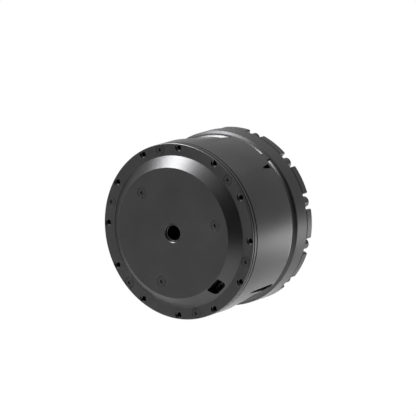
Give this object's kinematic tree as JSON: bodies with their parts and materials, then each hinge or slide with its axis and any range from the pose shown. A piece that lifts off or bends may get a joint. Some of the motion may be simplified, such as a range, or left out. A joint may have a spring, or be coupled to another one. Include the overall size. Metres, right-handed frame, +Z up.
{
  "type": "robot joint actuator",
  "caption": "Hollow drum-shaped robot joint actuator with a domed rear cover, a brushless motor, a planetary gearbox and a lobed output flange.",
  "frame": {"origin": "centre of the rear cover's mounting face, on the axis of the actuator", "axes": "+Y along the axis from the rear cover towards the output flange, +Z up through one mounting hole, +X to the right when looking along +Y"},
  "size_m": [0.098, 0.0647, 0.098],
  "materials": {
    "black_anodised": "satin black anodised, turned",
    "black_screw": "black oxide",
    "steel_screw": "zinc plated",
    "gear_steel": "ground and oiled",
    "bearing_steel": "ground bright",
    "plain_aluminium": "fine turned",
    "tube_aluminium": "grey anodised",
    "lamination_steel": "stamped sheets",
    "copper_wire": "enamelled copper",
    "magnet_nickel": "nickel plated",
    "code_ring_ferrite": "bonded magnet",
    "circuit_board": "solder mask",
    "chip_plastic": "moulded",
    "capacitor_can": "drawn can",
    "socket_plastic": "moulded black",
    "lead_sleeve": "silicone sleeve",
    "bronze": "sintered bronze",
    "seal_rubber": "moulded",
    "spacer_plastic": "moulded nylon"
  },
  "bodies": {
    "stator_body": {"rear_cover": "black_anodised", "cover_screws": "black_screw", "plate_screws": "black_screw", "board_posts": "plain_aluminium", "driver_board": "circuit_board", "capacitors": "capacitor_can", "power_transistors": "chip_plastic", "controller_chips": "chip_plastic", "position_sensors": "chip_plastic", "cable_socket": "socket_plastic", "board_spacers": "plain_aluminium", "motor_end_plate": "plain_aluminium", "tie_screws": "steel_screw", "motor_leads": "lead_sleeve", "stator_core": "lamination_steel", "stator_coils": "copper_wire", "rear_bearing_outer_race": "bearing_steel", "front_bearing_outer_race": "bearing_steel", "main_housing": "black_anodised", "gearbox_housing": "black_anodised", "dowel_pins": "steel_screw", "gearbox_screws": "steel_screw", "ring_gear": "gear_steel", "output_bearing_outer_race": "bearing_steel", "bearing_retainer": "plain_aluminium", "retainer_screws": "steel_screw", "output_seal": "seal_rubber"},
    "rotor": {"rotor_shaft": "gear_steel", "rotor_hub": "gear_steel", "rotor_magnets": "magnet_nickel", "rotor_code_ring": "code_ring_ferrite", "rear_bearing_inner_race": "bearing_steel", "front_bearing_inner_race": "bearing_steel", "sun_gear": "gear_steel"},
    "output": {"carrier_disc": "plain_aluminium", "carrier_plate": "gear_steel", "carrier_screws": "steel_screw", "planet_pins": "gear_steel", "planet_bushes": "bronze", "output_bearing_inner_race": "bearing_steel", "output_flange": "black_anodised", "output_screws": "black_screw", "hollow_tube": "tube_aluminium", "output_code_ring": "code_ring_ferrite"},
    "rollers": {"crossed_rollers": "bearing_steel", "roller_spacers": "spacer_plastic"},
    "planet_1": {"planet_gear_1": "gear_steel"},
    "planet_2": {"planet_gear_2": "gear_steel"},
    "planet_3": {"planet_gear_3": "gear_steel"}
  },
  "joints": [
    {"name": "output_spin", "type": "hinge", "parent": "stator_body", "child": "output", "pos_m": [0, 0.0571, 0], "axis": [0, 1, 0], "continuous": true},
    {"name": "rotor_spin", "type": "hinge", "parent": "stator_body", "child": "rotor", "pos_m": [0, 0.0233, 0], "axis": [0, 1, 0], "continuous": true},
    {"name": "roller_spin", "type": "hinge", "parent": "stator_body", "child": "rollers", "pos_m": [0, 0.04955, 0], "axis": [0, 1, 0], "continuous": true},
    {"name": "planet_spin_1", "type": "hinge", "parent": "output", "child": "planet_1", "pos_m": [0, 0.0416, 0.02252], "axis": [0, 1, 0], "continuous": true},
    {"name": "planet_spin_2", "type": "hinge", "parent": "output", "child": "planet_2", "pos_m": [-0.0195, 0.0416, -0.01126], "axis": [0, 1, 0], "continuous": true},
    {"name": "planet_spin_3", "type": "hinge", "parent": "output", "child": "planet_3", "pos_m": [0.0195, 0.0416, -0.01126], "axis": [0, 1, 0], "continuous": true}
  ],
  "couplings": [
    {"joint": "rotor_spin", "follows": "output_spin", "ratio": 6},
    {"joint": "roller_spin", "follows": "output_spin", "ratio": 0.47972},
    {"joint": "planet_spin_1", "follows": "output_spin", "ratio": -2.5},
    {"joint": "planet_spin_2", "follows": "output_spin", "ratio": -2.5},
    {"joint": "planet_spin_3", "follows": "output_spin", "ratio": -2.5}
  ]
}
